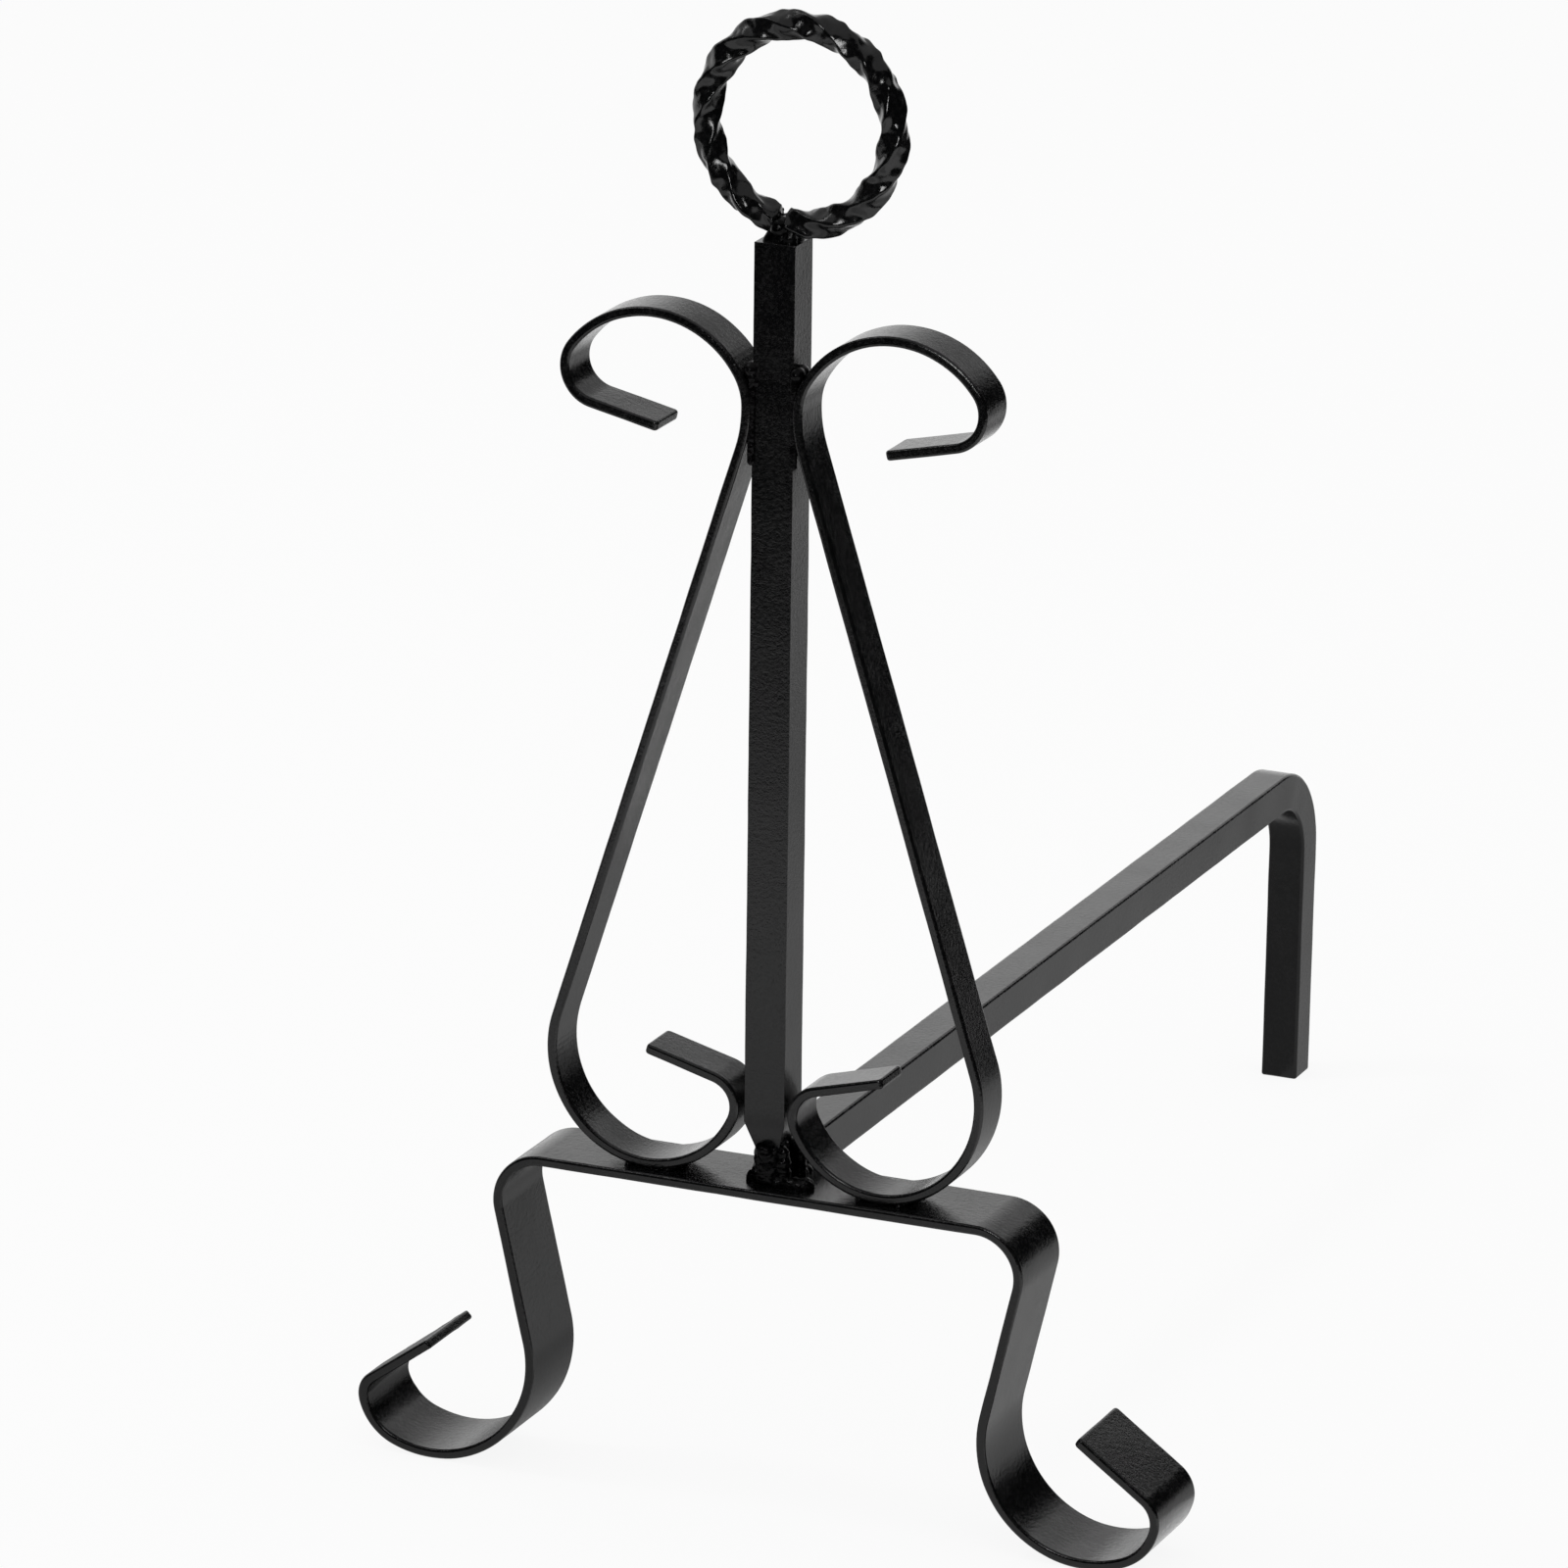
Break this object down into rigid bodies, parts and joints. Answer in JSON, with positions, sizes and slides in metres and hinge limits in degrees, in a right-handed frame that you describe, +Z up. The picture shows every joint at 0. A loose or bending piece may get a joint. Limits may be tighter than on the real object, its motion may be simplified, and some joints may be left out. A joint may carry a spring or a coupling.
{
  "type": "andiron",
  "caption": "Black steel andiron: square upright with a twisted ring, back-to-back flat-bar scrolls, arched scroll feet and a square log bar with a bent rear leg.",
  "frame": {"origin": "on the floor, under the middle of the andiron's outer box", "axes": "+Z up, -Y towards the room (the ornamental face), +Y to the back along the log bar, +X to the right seen from the front"},
  "size_m": [0.3292, 0.5752, 0.579],
  "materials": {
    "bar_paint": "satin black paint",
    "weld_paint": "satin black paint over rough weld metal"
  },
  "bodies": {
    "root": {"upright": "bar_paint", "ring": "bar_paint", "ring_weld": "weld_paint", "left_scroll": "bar_paint", "right_scroll": "bar_paint", "left_waist_weld": "weld_paint", "right_waist_weld": "weld_paint", "foot_strap": "bar_paint", "upright_weld": "weld_paint", "left_stand_weld": "weld_paint", "right_stand_weld": "weld_paint", "log_bar": "bar_paint", "log_bar_weld": "weld_paint"}
  },
  "joints": []
}
